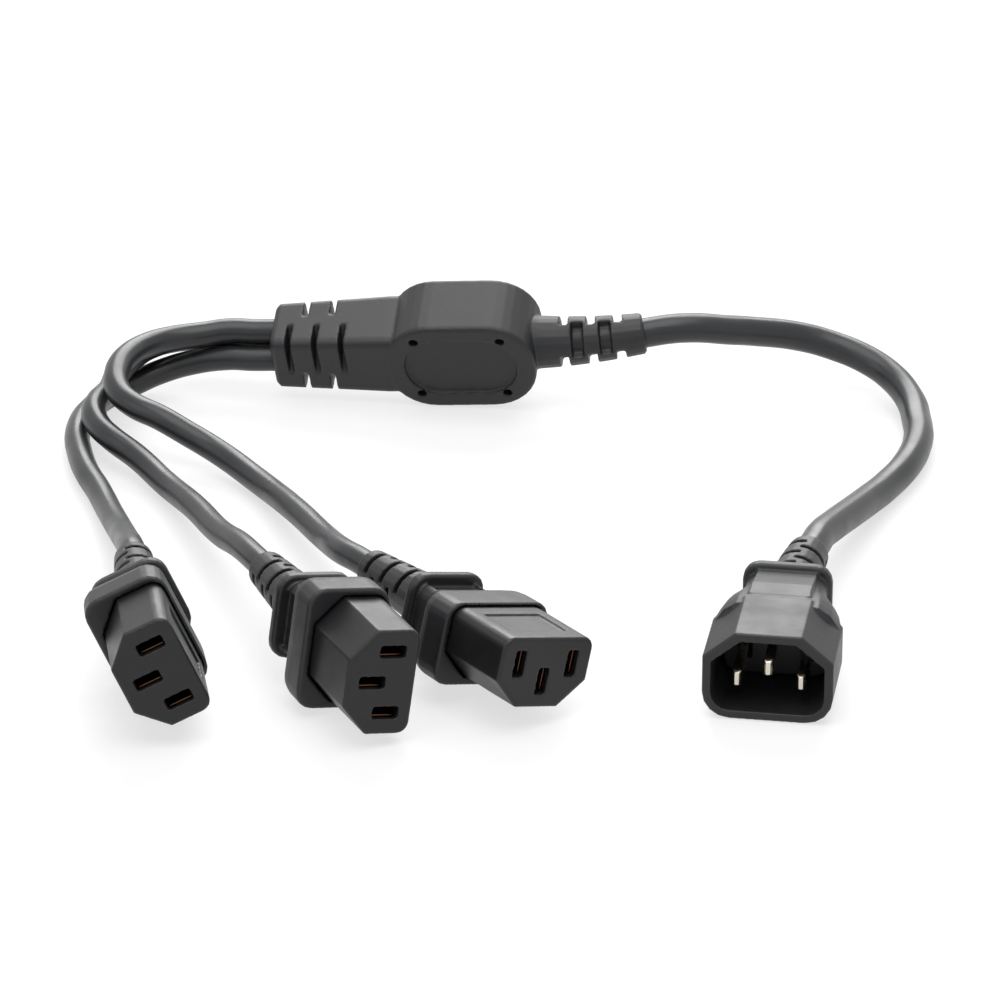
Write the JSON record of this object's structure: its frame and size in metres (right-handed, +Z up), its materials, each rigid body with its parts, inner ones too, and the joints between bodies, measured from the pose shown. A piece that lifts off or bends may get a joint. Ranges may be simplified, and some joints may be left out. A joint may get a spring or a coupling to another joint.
{
  "type": "power cord splitter",
  "caption": "Mains splitter lead: a shrouded pin plug, a moulded junction block and slotted outlets on short flexible cords, lying on a table.",
  "frame": {"origin": "on the table, under the middle of the box round the junction, plug and outlets, cords left out", "axes": "+Z up; +Y away from the viewer, from the outlets to the junction; +X to the right, from the outlets to the plug"},
  "size_m": [0.2101, 0.2095, 0.0314],
  "materials": {
    "body_pvc": "matte, finely textured",
    "nose_plastic": "matte",
    "cord_pvc": "satin",
    "nickel_pin": "plated",
    "brass_contact": "bare"
  },
  "bodies": {
    "root": {"junction_housing": "body_pvc", "plug_body": "body_pvc", "plug_pin_carrier": "nose_plastic", "plug_line_pin": "nickel_pin", "plug_neutral_pin": "nickel_pin", "plug_earth_pin": "nickel_pin", "outlet_1_grip": "body_pvc", "outlet_1_nose": "nose_plastic", "outlet_1_line_contact": "brass_contact", "outlet_1_neutral_contact": "brass_contact", "outlet_1_earth_contact": "brass_contact", "outlet_2_grip": "body_pvc", "outlet_2_nose": "nose_plastic", "outlet_2_line_contact": "brass_contact", "outlet_2_neutral_contact": "brass_contact", "outlet_2_earth_contact": "brass_contact", "outlet_3_grip": "body_pvc", "outlet_3_nose": "nose_plastic", "outlet_3_line_contact": "brass_contact", "outlet_3_neutral_contact": "brass_contact", "outlet_3_earth_contact": "brass_contact", "supply_cord": "cord_pvc", "outlet_cord_1": "cord_pvc", "outlet_cord_2": "cord_pvc", "outlet_cord_3": "cord_pvc"}
  },
  "joints": []
}
